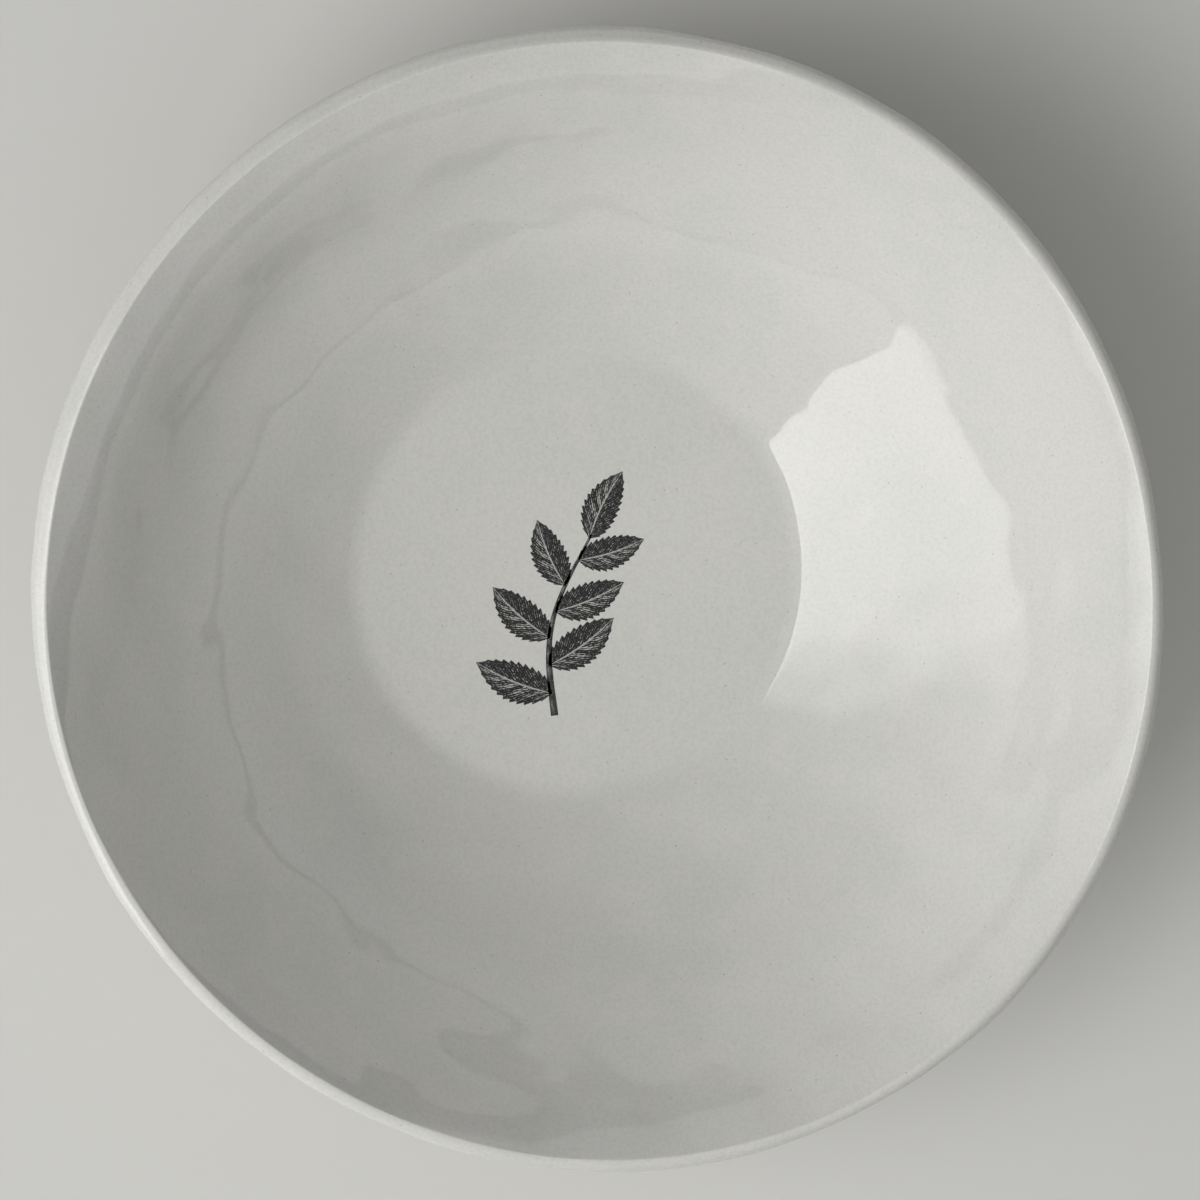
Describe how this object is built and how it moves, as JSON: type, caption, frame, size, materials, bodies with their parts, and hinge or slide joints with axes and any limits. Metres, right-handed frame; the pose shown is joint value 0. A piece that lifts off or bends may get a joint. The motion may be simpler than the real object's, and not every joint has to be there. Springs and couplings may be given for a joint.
{
  "type": "ceramic bowl",
  "caption": "Wide shallow round bowl with a flat well, a steepening wall, a rounded lip and a foot ring, in off-white glazed ceramic with a small black leaf print.",
  "frame": {"origin": "centre of the foot ring, on the surface that the bowl stands on", "axes": "+Z up, out of the bowl's mouth; +X to the right and +Y up in the picture, which looks down into the bowl"},
  "size_m": [0.1785, 0.1812, 0.0506],
  "materials": {
    "glaze": "polished",
    "print": "polished"
  },
  "bodies": {
    "root": {"bowl": "glaze"}
  },
  "joints": []
}
